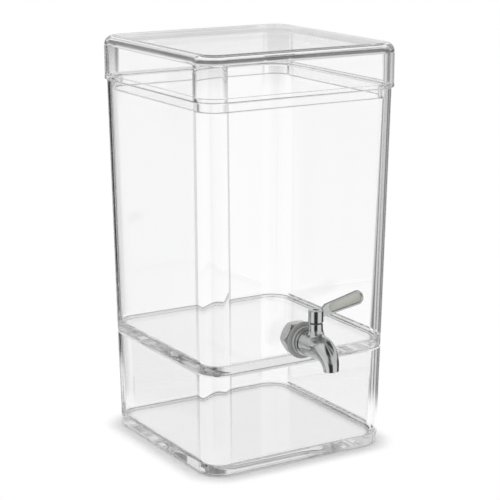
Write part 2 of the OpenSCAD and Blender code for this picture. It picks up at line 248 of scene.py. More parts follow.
@dataclass(frozen=True)
class Metal:
    """A bare metal: mirror-like where polished, with a fine uneven grain where it was brushed or cast."""

    name: str
    color: str
    roughness: float
    # spread of the roughness, the grain's width along each axis and its height
    roughness_spread: float = 0.03
    grain_mm: tuple[float, float, float] = (1.5, 1.5, 1.5)
    grain_um: float = 0.0
    # the part of the noise's span over which the roughness runs
    SPAN: ClassVar[tuple[float, float]] = (0.3, 0.7)

    def make(self) -> bpy.types.Material:
        """Makes the material.

        Returns:
            The material.
        """
        material, tree = blank_material(self.name)
        place = add_node(tree, "ShaderNodeTexCoord").outputs["Object"]
        scaled = add_node(tree, "ShaderNodeMapping", {"Vector": place,
                                                      "Scale": [1 / (g * MM) for g in self.grain_mm]})
        grain = add_node(tree, "ShaderNodeTexNoise", {"Vector": scaled.outputs["Vector"], "Scale": 1.0,
                                                      "Detail": 3.0}).outputs["Fac"]
        rough = add_node(tree, "ShaderNodeMapRange", {
            "Value": grain, "From Min": self.SPAN[0], "From Max": self.SPAN[1],
            "To Min": self.roughness - self.roughness_spread,
            "To Max": self.roughness + self.roughness_spread})
        shader = add_node(tree, "ShaderNodeBsdfPrincipled", {
            "Base Color": linear(self.color), "Metallic": 1.0, "Roughness": rough.outputs["Result"],
            "Normal": roughened(tree, grain, self.grain_um)})
        add_node(tree, "ShaderNodeOutputMaterial", {"Surface": shader.outputs["BSDF"]})
        return material


@dataclass(frozen=True)
class Moulded:
    """A solid-coloured moulded plastic or rubber: soft sheen, and a fine cloud in its tone."""

    name: str
    color: str
    shade: str
    roughness: float
    ior: float
    # width of the cloud, and the width and height of the grit
    cloud_mm: float = 4.0
    grit_mm: float = 0.4
    grit_um: float = 6.0

    def make(self) -> bpy.types.Material:
        """Makes the material.

        Returns:
            The material.
        """
        material, tree = blank_material(self.name)
        place = add_node(tree, "ShaderNodeTexCoord").outputs["Object"]
        cloud = add_node(tree, "ShaderNodeTexNoise", {"Vector": place, "Scale": 1 / (self.cloud_mm * MM),
                                                      "Detail": 2.0}).outputs["Fac"]
        tone = add_node(tree, "ShaderNodeMix", {"Factor": cloud, "A": linear(self.color),
                                                "B": linear(self.shade)}, data_type="RGBA")
        grit = add_node(tree, "ShaderNodeTexNoise", {"Vector": place, "Scale": 1 / (self.grit_mm * MM)})
        shader = add_node(tree, "ShaderNodeBsdfPrincipled", {
            "Base Color": tone.outputs["Result"], "Roughness": self.roughness, "IOR": self.ior,
            "Normal": roughened(tree, grit.outputs["Fac"], self.grit_um)})
        add_node(tree, "ShaderNodeOutputMaterial", {"Surface": shader.outputs["BSDF"]})
        return material


class Finishes:
    """The finishes of the dispenser, each made once."""

    def __init__(self) -> None:
        """Makes every material."""
        # clear acrylic from the mould, first where it is rounded and then where it is a level wall
        self.acrylic = ClearAcrylic().make()
        self.acrylic_sheet = ClearAcrylic().make(level=True)
        # the same acrylic in the base's walls, with painted shade: each face lets a trace less light
        # through than the tank's, for the shade that falls in the base under the tank's thick floor
        base_shade_acrylic = ClearAcrylic("acrylic_moulded_base", level_painted_shade="#FCFCFC")
        self.acrylic_base_painted_shade_sheet = base_shade_acrylic.make(level=True)
        # cast stainless steel, polished on a wheel: long soft reflections, a trace of the wheel
        self.cast_steel = Metal("stainless_cast_polished", "#C4C5C5", 0.19, 0.03,
                                (3.0, 1.2, 3.0), 0.4).make()
        # the same steel in the thumb recess, as it left the blasting cabinet: an even warm grey
        self.blasted_steel = Metal("stainless_blasted", "#C2C2BC", 0.42, 0.03, (0.5, 0.5, 0.5), 3.0).make()
        # turned and tumbled stainless steel: duller, with its turning marks run together
        self.turned_steel = Metal("stainless_turned_satin", "#C4C4C3", 0.28, 0.04,
                                  (0.8, 0.5, 0.8), 0.8).make()
        # turned brass, left bare
        self.brass = Metal("brass_turned", "#D9BE7E", 0.26, 0.04, (0.8, 0.8, 0.5), 0.8).make()
        # compression-moulded silicone: dull mid grey
        self.silicone = Moulded("silicone_moulded_grey", "#A0A1A0", "#939493", 0.48, 1.41).make()
        # moulded nylon in light grey, satin from the mould
        self.nylon_grey = Moulded("nylon_moulded_grey", "#BABAB8", "#AEAEAC", 0.33, 1.53).make()
        # the same nylon in black, a little duller
        self.nylon_black = Moulded("nylon_moulded_black", "#262728", "#1D1E1F", 0.4, 1.53).make()
        # machined PTFE: waxy white
        self.ptfe = Moulded("ptfe_machined", "#EFEEE9", "#E6E5E0", 0.45, 1.38).make()
        # nitrile O-ring cord: matt black
        self.nitrile = Moulded("nitrile_rubber_moulded", "#232323", "#1A1A1A", 0.55, 1.52).make()


# Meshes


def smooth_step(share: float) -> float:
    """Returns a smooth step from 0 to 1."""
    share = min(1.0, max(0.0, share))
    return share * share * (3 - 2 * share)


@dataclass(frozen=True)
class Corner:
    """One corner of a section: how far out it lies, its height, its rounding and its rounding in plan."""

    out: float
    up: float
    fillet: float = 0.0
    plan: float = 0.0


def round_corners(corners: Sequence[Corner], steps: int, hold: float) -> list[Vector]:
    """Rounds the corners of an open section and adds a holding point beside each rounding.

    Args:
        corners: the section's corners in order.
        steps: points on each rounding.
        hold: distance of the holding points, which keep the flats beside a rounding flat.

    Returns:
        Points of (out, plan rounding, up) in millimetres.
    """
    flat = [Vector((c.out, c.up)) for c in corners]
    points: list[Vector] = []
    for i, corner in enumerate(corners):
        if not corner.fillet:
            points.append(Vector((corner.out, corner.plan, corner.up)))
            continue
        back, ahead = flat[i - 1] - flat[i], flat[i + 1] - flat[i]
        opening = back.angle(ahead)
        reach = corner.fillet / math.tan(opening / 2)
        back_plan = corner.plan + (corners[i - 1].plan - corner.plan) * reach / back.length
        ahead_plan = corner.plan + (corners[i + 1].plan - corner.plan) * reach / ahead.length
        centre = flat[i] + (back.normalized() + ahead.normalized()).normalized() * (
            corner.fillet / math.sin(opening / 2))
        start = flat[i] + back.normalized() * reach
        end = flat[i] + ahead.normalized() * reach

        def beside(toward: Vector, at: Vector, plan: float, other: Corner) -> list[Vector]:
            """Finds the holding point on the flat beside a rounding, if there is room for one.

            Args:
                toward: the way to the next corner.
                at: the end of the rounding.
                plan: the rounding in plan there.
                other: the next corner.

            Returns:
                The point, or nothing.
            """
            room = toward.length - reach - other.fillet
            if room < HOLD_ROOM * hold:
                return []
            share = hold / (toward.length - reach)
            spot = at + toward.normalized() * hold
            return [Vector((spot.x, plan + (other.plan - plan) * share, spot.y))]

        points += beside(back, start, back_plan, corners[i - 1])
        for k in range(steps + 1):
            turn = (math.pi - opening) * k / steps
            side = 1 if back.x * ahead.y - back.y * ahead.x < 0 else -1
            spoke = start - centre
            c, s = math.cos(turn * side), math.sin(turn * side)
            spot = centre + Vector((spoke.x * c + spoke.y * -s, spoke.x * s + spoke.y * c))
            span = end.x - start.x
            share = (spot.x - start.x) / span if abs(span) > TINY else k / steps
            points.append(Vector((spot.x, back_plan + (ahead_plan - back_plan) * share, spot.y)))
        points += beside(ahead, end, ahead_plan, corners[i + 1])
    return points


def skin(rings: Sequence[Sequence[Vector]], closed: bool = False) -> Shell:
    """Joins rings of equal counts by quads.

    Args:
        rings: the rings in order.
        closed: joins the last ring to the first, and otherwise fills both ends.

    Returns:
        The shell's points and faces.
    """
    n, m = len(rings[0]), len(rings)
    faces: list[tuple[int, ...]] = []
    for j in range(m if closed else m - 1):
        a, b = j * n, (j + 1) % m * n
        faces += [(a + i, a + (i + 1) % n, b + (i + 1) % n, b + i) for i in range(n)]
    if not closed:
        faces += [tuple(range(n)), tuple(range((m - 1) * n, m * n))]
    return [p for ring in rings for p in ring], faces


def turned(corners: Sequence[Corner], axis: Matrix, closed: bool = False, segments: int = 96,
           steps: int = 5, hold: float = 0.3) -> Shell:
    """Turns a section about an axis.

    Args:
        corners: the section, from one end of the axis to the other.
        axis: where the section's own height axis stands.
        closed: the section is a loop that stays clear of the axis.
        segments: points round the axis.
        steps: points on each rounding.
        hold: distance of the holding points beside a rounding.

    Returns:
        The shell's points and faces.
    """
    if closed:
        corners = [*corners, corners[0]]
    points = round_corners(corners, steps, hold)
    if closed:
        points = points[:-1]
    rings = [[axis @ Vector((p.x * math.cos(q), p.x * math.sin(q), p.z))
              for q in (2 * math.pi * i / segments for i in range(segments))] for p in points]
    return skin(rings, closed)


def link_object(name: str, data: bpy.types.ID) -> bpy.types.Object:
    """Makes an object from its data and links it to the scene.

    Args:
        name: the object's name.
        data: its mesh or camera.

    Returns:
        The object.
    """
    thing = bpy.data.objects.new(name, data)
    bpy.context.scene.collection.objects.link(thing)
    return thing


def mesh_object(name: str, shells: Sequence[Shell], merge: float = 1e-4) -> bpy.types.Object:
    """Makes one object from closed shells, in metres, with smooth faces that point outwards.

    Args:
        name: the object's name.
        shells: points in millimetres, and faces.
        merge: distance in millimetres below which points become one.

    Returns:
        The object, linked to the scene.
    """
    mesh = bpy.data.meshes.new(name)
    work = bmesh.new()
    for points, faces in shells:
        spots = [work.verts.new(p * MM) for p in points]
        made = [work.faces.new([spots[i] for i in face]) for face in faces]
        bmesh.ops.remove_doubles(work, verts=spots, dist=merge * MM)
        bmesh.ops.recalc_face_normals(work, faces=[f for f in made if f.is_valid])
    for face in work.faces:
        face.smooth = True
    work.to_mesh(mesh)
    work.free()
    return link_object(name, mesh)


def settle(source: bpy.types.Object, name: str, crease_deg: float | None = None) -> bpy.types.Object:
    """Turns an object with live modifiers to a plain mesh at the origin.

    Args:
        source: the object, which is removed.
        name: the new object's name.
        crease_deg: edges that turn more than this are sharp.

    Returns:
        The plain object, linked to the scene.
    """
    bpy.context.view_layer.update()
    graph = bpy.context.evaluated_depsgraph_get()
    mesh = bpy.data.meshes.new_from_object(source.evaluated_get(graph), depsgraph=graph)
    bpy.data.objects.remove(source)
    mesh.name = name
    work = bmesh.new()
    work.from_mesh(mesh)
    for face in work.faces:
        face.smooth = True
    if crease_deg is not None:
        for edge in work.edges:
            open_edge = len(edge.link_faces) != 2
            edge.smooth = open_edge or edge.calc_face_angle(0.0) < math.radians(crease_deg)
    work.to_mesh(mesh)
    work.free()
    return link_object(name, mesh)


def grow(name: str, seed: bpy.types.Object, tree: bpy.types.NodeTree, inputs: dict) -> bpy.types.Object:
    """Runs a node tree on a seed mesh and keeps the result as a plain mesh.

    Args:
        name: the new object's name.
        seed: the object that holds the seed mesh, which is removed.
        tree: the node tree.
        inputs: values for the tree's inputs, by name.

    Returns:
        The plain object.
    """
    modifier = seed.modifiers.new(name, "NODES")
    modifier.node_group = tree
    sockets = {i.name: i.identifier for i in tree.interface.items_tree if i.in_out == "INPUT"}
    for key, value in inputs.items():
        modifier[sockets[key]] = value
    return settle(seed, name)


def line_object(name: str, points: Sequence[Vector]) -> bpy.types.Object:
    """Makes an object whose mesh is a line of points with no faces, in metres already.

    Args:
        name: the object's name.
        points: the points in order.

    Returns:
        The object, linked to the scene.
    """
    mesh = bpy.data.meshes.new(name)
    mesh.from_pydata([tuple(p) for p in points], [(i, i + 1) for i in range(len(points) - 1)], [])
    return link_object(name, mesh)


def join(piece: bpy.types.Object, other: bpy.types.Object) -> None:
    """Adds the mesh of another object to a piece.

    Args:
        piece: the piece, which grows.
        other: the other object, which is removed.
    """
    work = bmesh.new()
    for part in (piece, other):
        work.from_mesh(part.data)
    work.to_mesh(piece.data)
    work.free()
    bpy.data.objects.remove(other)


def carve(piece: bpy.types.Object, cutters: Sequence[bpy.types.Object], name: str,
          crease_deg: float) -> bpy.types.Object:
    """Cuts solids out of a piece.

    Args:
        piece: the piece, which is replaced.
        cutters: the solids to cut away, which are removed.
        name: the new object's name.
        crease_deg: edges that turn more than this are sharp.

    Returns:
        The plain object.
    """
    for cutter in cutters:
        modifier = piece.modifiers.new(cutter.name, "BOOLEAN")
        modifier.operation, modifier.solver, modifier.object = "DIFFERENCE", "EXACT", cutter
    result = settle(piece, name, crease_deg)
    for cutter in cutters:
        bpy.data.objects.remove(cutter)
    return result


def dress(piece: bpy.types.Object, body: Body, material: bpy.types.Material,
          stands_for: Sequence[str]) -> None:
    """Gives a finished piece its material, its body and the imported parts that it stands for.

    Args:
        piece: the finished piece.
        body: the body it moves with.
        material: its first material, kept if the piece has materials already.
        stands_for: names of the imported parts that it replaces.
    """
    if not piece.data.materials:
        piece.data.materials.append(material)
    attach(piece, body.value)
    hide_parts(*stands_for)
    log.info("piece %s on %s: %d faces", piece.name, body.value, len(piece.data.polygons))


# Node trees for shapes


def blank_shape(name: str, inputs: dict[str, str], output: str) -> tuple[
        bpy.types.NodeTree, dict[str, bpy.types.NodeSocket]]:
    """Starts a node tree for a shape.

    Args:
        name: the tree's name.
        inputs: for each input, in order, the kind of its value.
        output: name of the shape that the tree gives.

    Returns:
        The tree, and the sockets of its inputs by name.
    """
    tree = bpy.data.node_groups.new(name, "GeometryNodeTree")
    for label, kind in inputs.items():
        tree.interface.new_socket(name=label, in_out="INPUT", socket_type=f"NodeSocket{kind}")
    tree.interface.new_socket(name=output, in_out="OUTPUT", socket_type="NodeSocketGeometry")
    sockets = add_node(tree, "NodeGroupInput").outputs
    return tree, {label: sockets[label] for label in inputs}


def finish_shape(tree: bpy.types.NodeTree, shape: bpy.types.NodeSocket, material: bpy.types.NodeSocket,
                 output: str) -> None:
    """Ends a node tree for a shape, with real meshes and their material.

    Args:
        tree: the tree.
        shape: the socket that gives the shape.
        material: the socket that gives the material.
        output: name of the shape that the tree gives.
    """
    real = add_node(tree, "GeometryNodeRealizeInstances", {"Geometry": shape})
    finished = add_node(tree, "GeometryNodeSetMaterial", {"Geometry": real.outputs["Geometry"],
                                                          "Material": material})
    add_node(tree, "NodeGroupOutput", {output: finished.outputs["Geometry"]})


class Loft:
    """A tree that lofts rounded squares, one for each point of a section line.

    Each point of the seed line holds a ring's half width, its plan rounding and its height.
    """

    # where a point of the grid lies: its ring, its corner and its turn in that corner
    WHERE: ClassVar[list[Sum]] = [
        ("per_corner", "ADD", "Corner steps", 3.0), ("ring", "MULTIPLY", "per_corner", 4.0),
        ("columns", "ADD", "ring", 1.0),
        ("row", "DIVIDE", "index", "columns"), ("row", "FLOOR", "row"),
        ("column", "MODULO", "index", "columns"), ("column", "MODULO", "column", "ring"),
        ("corner", "DIVIDE", "column", "per_corner"), ("corner", "FLOOR", "corner"),
        ("step", "MODULO", "column", "per_corner"), ("step", "SUBTRACT", "step", 1.0),
        ("held", "MAXIMUM", "step", 0.0), ("held", "MINIMUM", "held", "Corner steps"),
        ("over", "SUBTRACT", "step", "held"),
        ("turn", "DIVIDE", "held", "Corner steps"), ("turn", "ADD", "turn", "corner"),
        ("turn", "MULTIPLY", "turn", math.pi / 2), ("cos", "COSINE", "turn"), ("sin", "SINE", "turn"),
        ("diagonal", "MULTIPLY", "corner", math.pi / 2), ("diagonal", "ADD", "diagonal", math.pi / 4),
        ("side_x", "COSINE", "diagonal"), ("side_x", "SIGN", "side_x"),
        ("side_y", "SINE", "diagonal"), ("side_y", "SIGN", "side_y"),
    ]
    # the point's place from its ring's half width and plan rounding
    PLACE: ClassVar[list[Sum]] = [
        ("centre", "SUBTRACT", "half", "plan"), ("room", "MULTIPLY", "centre", 0.5),
        ("reach", "MINIMUM", "Hold", "room"), ("reach", "MULTIPLY", "reach", "over"),
        ("x", "MULTIPLY", "side_x", "centre"),
        ("arm", "MULTIPLY", "plan", "cos"), ("x", "ADD", "x", "arm"),
        ("arm", "MULTIPLY", "reach", "sin"), ("x", "SUBTRACT", "x", "arm"),
        ("y", "MULTIPLY", "side_y", "centre"),
        ("arm", "MULTIPLY", "plan", "sin"), ("y", "ADD", "y", "arm"),
        ("arm", "MULTIPLY", "reach", "cos"), ("y", "ADD", "y", "arm"),
    ]

    def make(self) -> bpy.types.NodeTree:
        """Makes the tree.

        Returns:
            The tree, with inputs for the section, the steps on a corner, the hold and the material.
        """
        tree, given = blank_shape("rounded_square_loft", {
            "Section": "Geometry", "Corner steps": "Int", "Hold": "Float", "Material": "Material"}, "Body")
        section = given["Section"]
        known = {"Corner steps": given["Corner steps"], "Hold": given["Hold"],
                 "index": add_node(tree, "GeometryNodeInputIndex").outputs[0]}
        work_out(tree, self.WHERE, known)
        ring = add_node(tree, "GeometryNodeSampleIndex", {
            "Geometry": section, "Value": add_node(tree, "GeometryNodeInputPosition").outputs[0],
            "Index": known["row"]}, data_type="FLOAT_VECTOR", domain="POINT")
        sizes = add_node(tree, "ShaderNodeSeparateXYZ", {"Vector": ring.outputs["Value"]})
        known.update(half=sizes.outputs["X"], plan=sizes.outputs["Y"])
        work_out(tree, self.PLACE, known)
        rows = add_node(tree, "GeometryNodeAttributeDomainSize", {"Geometry": section})
        grid = add_node(tree, "GeometryNodeMeshGrid", {"Vertices X": rows.outputs["Point Count"],
                                                       "Vertices Y": known["columns"]})
        spot = add_node(tree, "ShaderNodeCombineXYZ", {"X": known["x"], "Y": known["y"],
                                                       "Z": sizes.outputs["Z"]})
        placed = add_node(tree, "GeometryNodeSetPosition", {"Geometry": grid.outputs["Mesh"],
                                                            "Position": spot.outputs["Vector"]})
        joined = add_node(tree, "GeometryNodeMergeByDistance", {"Geometry": placed.outputs["Geometry"],
                                                                "Distance": TINY})
        smooth = add_node(tree, "GeometryNodeSetShadeSmooth", {"Geometry": joined.outputs["Geometry"]})
        finish_shape(tree, smooth.outputs["Geometry"], given["Material"], "Body")
        return tree


class Sweep:
    """A tree that sweeps a circle along a line whose points carry the radius."""

    # name of the value that holds the radius
    RADIUS: ClassVar[str] = "radius"

    def make(self) -> bpy.types.NodeTree:
        """Makes the tree.

        Returns:
            The tree, with inputs for the path, the points round it and the material.
        """
        tree, given = blank_shape("tapering_sweep", {
            "Path": "Geometry", "Points round": "Int", "Material": "Material"}, "Tube")
        curve = add_node(tree, "GeometryNodeMeshToCurve", {"Mesh": given["Path"]})
        size = add_node(tree, "GeometryNodeInputNamedAttribute", {"Name": self.RADIUS}, data_type="FLOAT")
        circle = add_node(tree, "GeometryNodeCurvePrimitiveCircle", {"Resolution": given["Points round"],
                                                                     "Radius": 1.0})
        tube = add_node(tree, "GeometryNodeCurveToMesh", {
            "Curve": curve.outputs["Curve"], "Profile Curve": circle.outputs["Curve"],
            "Scale": size.outputs["Attribute"], "Fill Caps": True})
        finish_shape(tree, tube.outputs["Mesh"], given["Material"], "Tube")
        return tree


# The clear mouldings


@dataclass
class Mouldings:
    """Sizes that the base, the tank and the lid share, and the loft that makes all three."""

    finishes: Finishes
    loft: bpy.types.NodeTree
    wall: float = 3.0
    inner_r: float = 2.0
    # half width, corner rounding and height of the joint between base and tank, and of the tank's rim
    joint_half: float = 90.0
    joint_r: float = 21.0
    rim_half: float = 93.7
    rim_r: float = 20.5
    joint_z: float = 88.0
    rim_z: float = 313.5
    # air left between two clear faces that rest on each other
    air: float = 0.06
    # roundings of rims and of the small inner corners under them
    lip_r: float = 0.8
    crook_r: float = 0.3
    # how far in from a wall the plain ring of a floor or a ceiling lies
    ring_in: float = 12.0
    # steps on the roundings in plan and in section, and the holds beside them
    corner_steps: int = 28
    edge_steps: int = 9
    plan_hold: float = 1.2
    edge_hold: float = 0.6
    # how far over a floor or a ledge the wall becomes a plain sheet, and how fast it starts to bend light
    sheet_up: float = 3.6
    ramp_mm: float = 3.0
    ramp_deg: float = 45.0
    # a face that turns from a level wall by less than this belongs to it
    sheet_deg: float = 1.3

    def box(self, name: str, corners: Sequence[Corner]) -> bpy.types.Object:
        """Lofts one clear piece.

        Args:
            name: the piece's name.
            corners: its section, in an order that runs down the outside.

        Returns:
            The piece, as a plain mesh.
        """
        points = round_corners(corners, self.edge_steps, self.edge_hold)
        line = line_object(name + "_section", [p * MM for p in points])
        return grow(name, line, self.loft, {"Corner steps": self.corner_steps, "Hold": self.plan_hold * MM,
                                            "Material": self.finishes.acrylic})

    def split(self, upper: Corner, lower: Corner, up: float) -> Corner:
        """Returns the point at a height on the wall between two corners."""
        share = (up - lower.up) / (upper.up - lower.up)
        return Corner(lower.out + (upper.out - lower.out) * share, up,
                      plan=lower.plan + (upper.plan - lower.plan) * share)

    def sheets(self, piece: bpy.types.Object, above: float, ramp_deg: float,
               steep_only: bool = True) -> None:
        """Gives the level walls of a piece the finish that light passes straight through.

        Args:
            piece: the piece.
            above: height in millimetres over which its walls are plain sheets.
            ramp_deg: turn of a rounding over which it comes to bend light in full.
            steep_only: leaves the floors and ceilings as they are.
        """
        mesh = piece.data
        mesh.materials.clear()
        for finish in (self.finishes.acrylic, self.finishes.acrylic_sheet):
            mesh.materials.append(finish)

        def aside(normal: Vector) -> float:
            """Returns the angle in degrees between a normal and the nearest level wall's."""
            facing = max(abs(n) for n in (normal[:2] if steep_only else normal))
            return math.degrees(math.acos(min(1.0, facing)))

        for face in mesh.polygons:
            face.material_index = int(aside(face.normal) < self.sheet_deg and face.center.z > above * MM)
        bend = mesh.attributes.new(ClearAcrylic.BEND, "FLOAT", "POINT")
        for vert, value in zip(mesh.vertices, bend.data):
            share = max(aside(vert.normal) / ramp_deg, (above - vert.co.z / MM) / self.ramp_mm)
            value.value = smooth_step(share)


@dataclass
class Base:
    """The open box that the tank stands on."""

    shared: Mouldings
    foot_half: float = 88.4
    floor_t: float = 9.3
    edge_r: float = 3.6

    def build(self) -> None:
        """Makes the base and dresses it."""
        s = self.shared
        top = s.joint_z - s.air
        inside = s.joint_r - s.wall
        floor_half = s.joint_half - (s.joint_half - self.foot_half) * (1 - self.floor_t / s.joint_z)
        corners = [
            Corner(0, self.floor_t),
            Corner(floor_half - s.wall - s.ring_in, self.floor_t, plan=inside - s.ring_in),
            Corner(floor_half - s.wall, self.floor_t, s.inner_r, inside),
            Corner(s.joint_half - s.wall, top, s.lip_r, inside),
            Corner(s.joint_half, top, s.lip_r, s.joint_r),
            Corner(self.foot_half, 0, self.edge_r, s.joint_r),
            Corner(self.foot_half - s.ring_in, 0, plan=s.joint_r - s.ring_in),
            Corner(0, 0),
        ]
        clear_z = self.floor_t + s.sheet_up
        corners[5:5] = [s.split(corners[4], corners[5], z) for z in (clear_z, clear_z - s.ramp_mm)]
        piece = s.box("base_box", corners)
        s.sheets(piece, clear_z, s.ramp_deg)
        # the base's level walls get the sheet with painted shade, a trace greyer than the tank's
        piece.data.materials[1] = s.finishes.acrylic_base_painted_shade_sheet
        dress(piece, Body.BASE, s.finishes.acrylic, ["base"])


@dataclass
class Tank:
    """The open tank with its solid floor, its locating step and the hole for the tap."""

    shared: Mouldings
    floor_t: float = 7.4
    edge_r: float = 2.4
    step_h: float = 2.0
    step_gap: float = 0.5
    hole_r: float = 8.4
    tap_z: float = 108.3
    # half length of the drill that cuts the hole, and the turn from which an edge is sharp
    drill_half: float = 12.0
    crease_deg: float = 40.0

    def build(self) -> None:
        """Makes the tank, cuts the tap hole and dresses it."""
        s = self.shared
        low, top, floor = s.joint_z + s.air, s.rim_z - s.air, s.joint_z + self.floor_t
        inside = s.joint_r - s.wall
        floor_half = s.joint_half + (s.rim_half - s.joint_half) * self.floor_t / (s.rim_z - s.joint_z)
        step_half, step_r = s.joint_half - s.wall - self.step_gap, inside - self.step_gap
        corners = [
            Corner(0, floor),
            Corner(floor_half - s.wall - s.ring_in, floor, plan=inside - s.ring_in),
            Corner(floor_half - s.wall, floor, s.inner_r, inside),
            Corner(s.rim_half - s.wall, top, s.lip_r, s.rim_r - s.wall),
            Corner(s.rim_half, top, s.lip_r, s.rim_r),
            Corner(s.joint_half, low, self.edge_r, s.joint_r),
            Corner(step_half, low, s.crook_r, step_r),
            Corner(step_half, low - self.step_h, s.lip_r, step_r),
            Corner(step_half - s.ring_in, low - self.step_h, plan=step_r - s.ring_in),
            Corner(0, low - self.step_h),
        ]
        clear_z = floor + s.sheet_up
        corners[5:5] = [s.split(corners[4], corners[5], z) for z in (clear_z, clear_z - s.ramp_mm)]
        walls = s.box("tank_walls", corners)
        across = Matrix.Translation((0, -s.joint_half, self.tap_z)) @ Matrix.Rotation(math.pi / 2, 4, "X")
        drill = [Corner(0, -self.drill_half), Corner(self.hole_r, -self.drill_half),
                 Corner(self.hole_r, self.drill_half), Corner(0, self.drill_half)]
        hole = mesh_object("tap_hole", [turned(drill, across)])
        piece = carve(walls, [hole], "tank_box", self.crease_deg)
        s.sheets(piece, clear_z, s.ramp_deg)
        dress(piece, Body.TANK, s.finishes.acrylic, ["tank"])


@dataclass
class Lid:
    """The deep cap that stands on the tank rim, with its plug ring."""

    shared: Mouldings
    half: float = 95.3
    top_z: float = 351.0
    edge_r: float = 8.0
    plug_half: float = 90.1556
    plug_r: float = 17.1
    plug_h: float = 8.8
    plug_wall: float = 2.6
    ledge_t: float = 3.0
    ledge_r: float = 0.5
    ramp_deg: float = 13.0

    def build(self) -> None:
        """Makes the lid and dresses it."""
        s = self.shared
        ceiling, ledge = self.top_z - s.wall, s.rim_z + self.ledge_t
        low, plug_z = s.rim_z, s.rim_z - self.plug_h
        inner_half, inner_r = self.plug_half - self.plug_wall, self.plug_r - self.plug_wall
        wall_half, wall_r = self.half - s.wall, s.rim_r - s.wall
        corners = [
            Corner(0, self.top_z),
            Corner(wall_half - s.ring_in, self.top_z, plan=wall_r - s.ring_in),
            Corner(self.half, self.top_z, self.edge_r, s.rim_r),
            Corner(self.half, low, s.lip_r, s.rim_r),
            Corner(self.plug_half, low, s.crook_r, self.plug_r),
            Corner(self.plug_half, plug_z, s.lip_r, self.plug_r),
            Corner(inner_half, plug_z, s.lip_r, inner_r),
            Corner(inner_half, ledge, s.lip_r, inner_r),
            Corner(wall_half, ledge, self.ledge_r, wall_r),
            Corner(wall_half, ceiling, self.edge_r - s.wall, wall_r),
            Corner(wall_half - s.ring_in, ceiling, plan=wall_r - s.ring_in),
            Corner(0, ceiling),
        ]
        piece = s.box("lid_cap", corners)
        s.sheets(piece, plug_z - s.sheet_up, self.ramp_deg, steep_only=False)
        dress(piece, Body.LID, s.finishes.acrylic, ["lid"])


# The tap


@dataclass(frozen=True)
class Facing:
    """The cut that faces the end of a round and bevels its edge."""

    # how far inside the edge the bevel starts, its drop, and the room that the cut takes beside the round
    inside: float
    drop: float
    room: float
    # how far past the edge the bevel runs, and how far over the end the cut reaches
    outside: float = 0.6
    height: float = 9.0

    def section(self, r: float, up: float) -> list[Corner]:
        """Works out the section of the cut, from the end's face round to the axis.

        Args:
            r: radius of the round.
            up: height of its end.

        Returns:
            The section's corners.
        """
        return [Corner(r - self.inside, up), Corner(r + self.outside, up - self.drop),
                Corner(r + self.room, up - self.drop), Corner(r + self.room, up + self.height),
                Corner(0, up + self.height)]


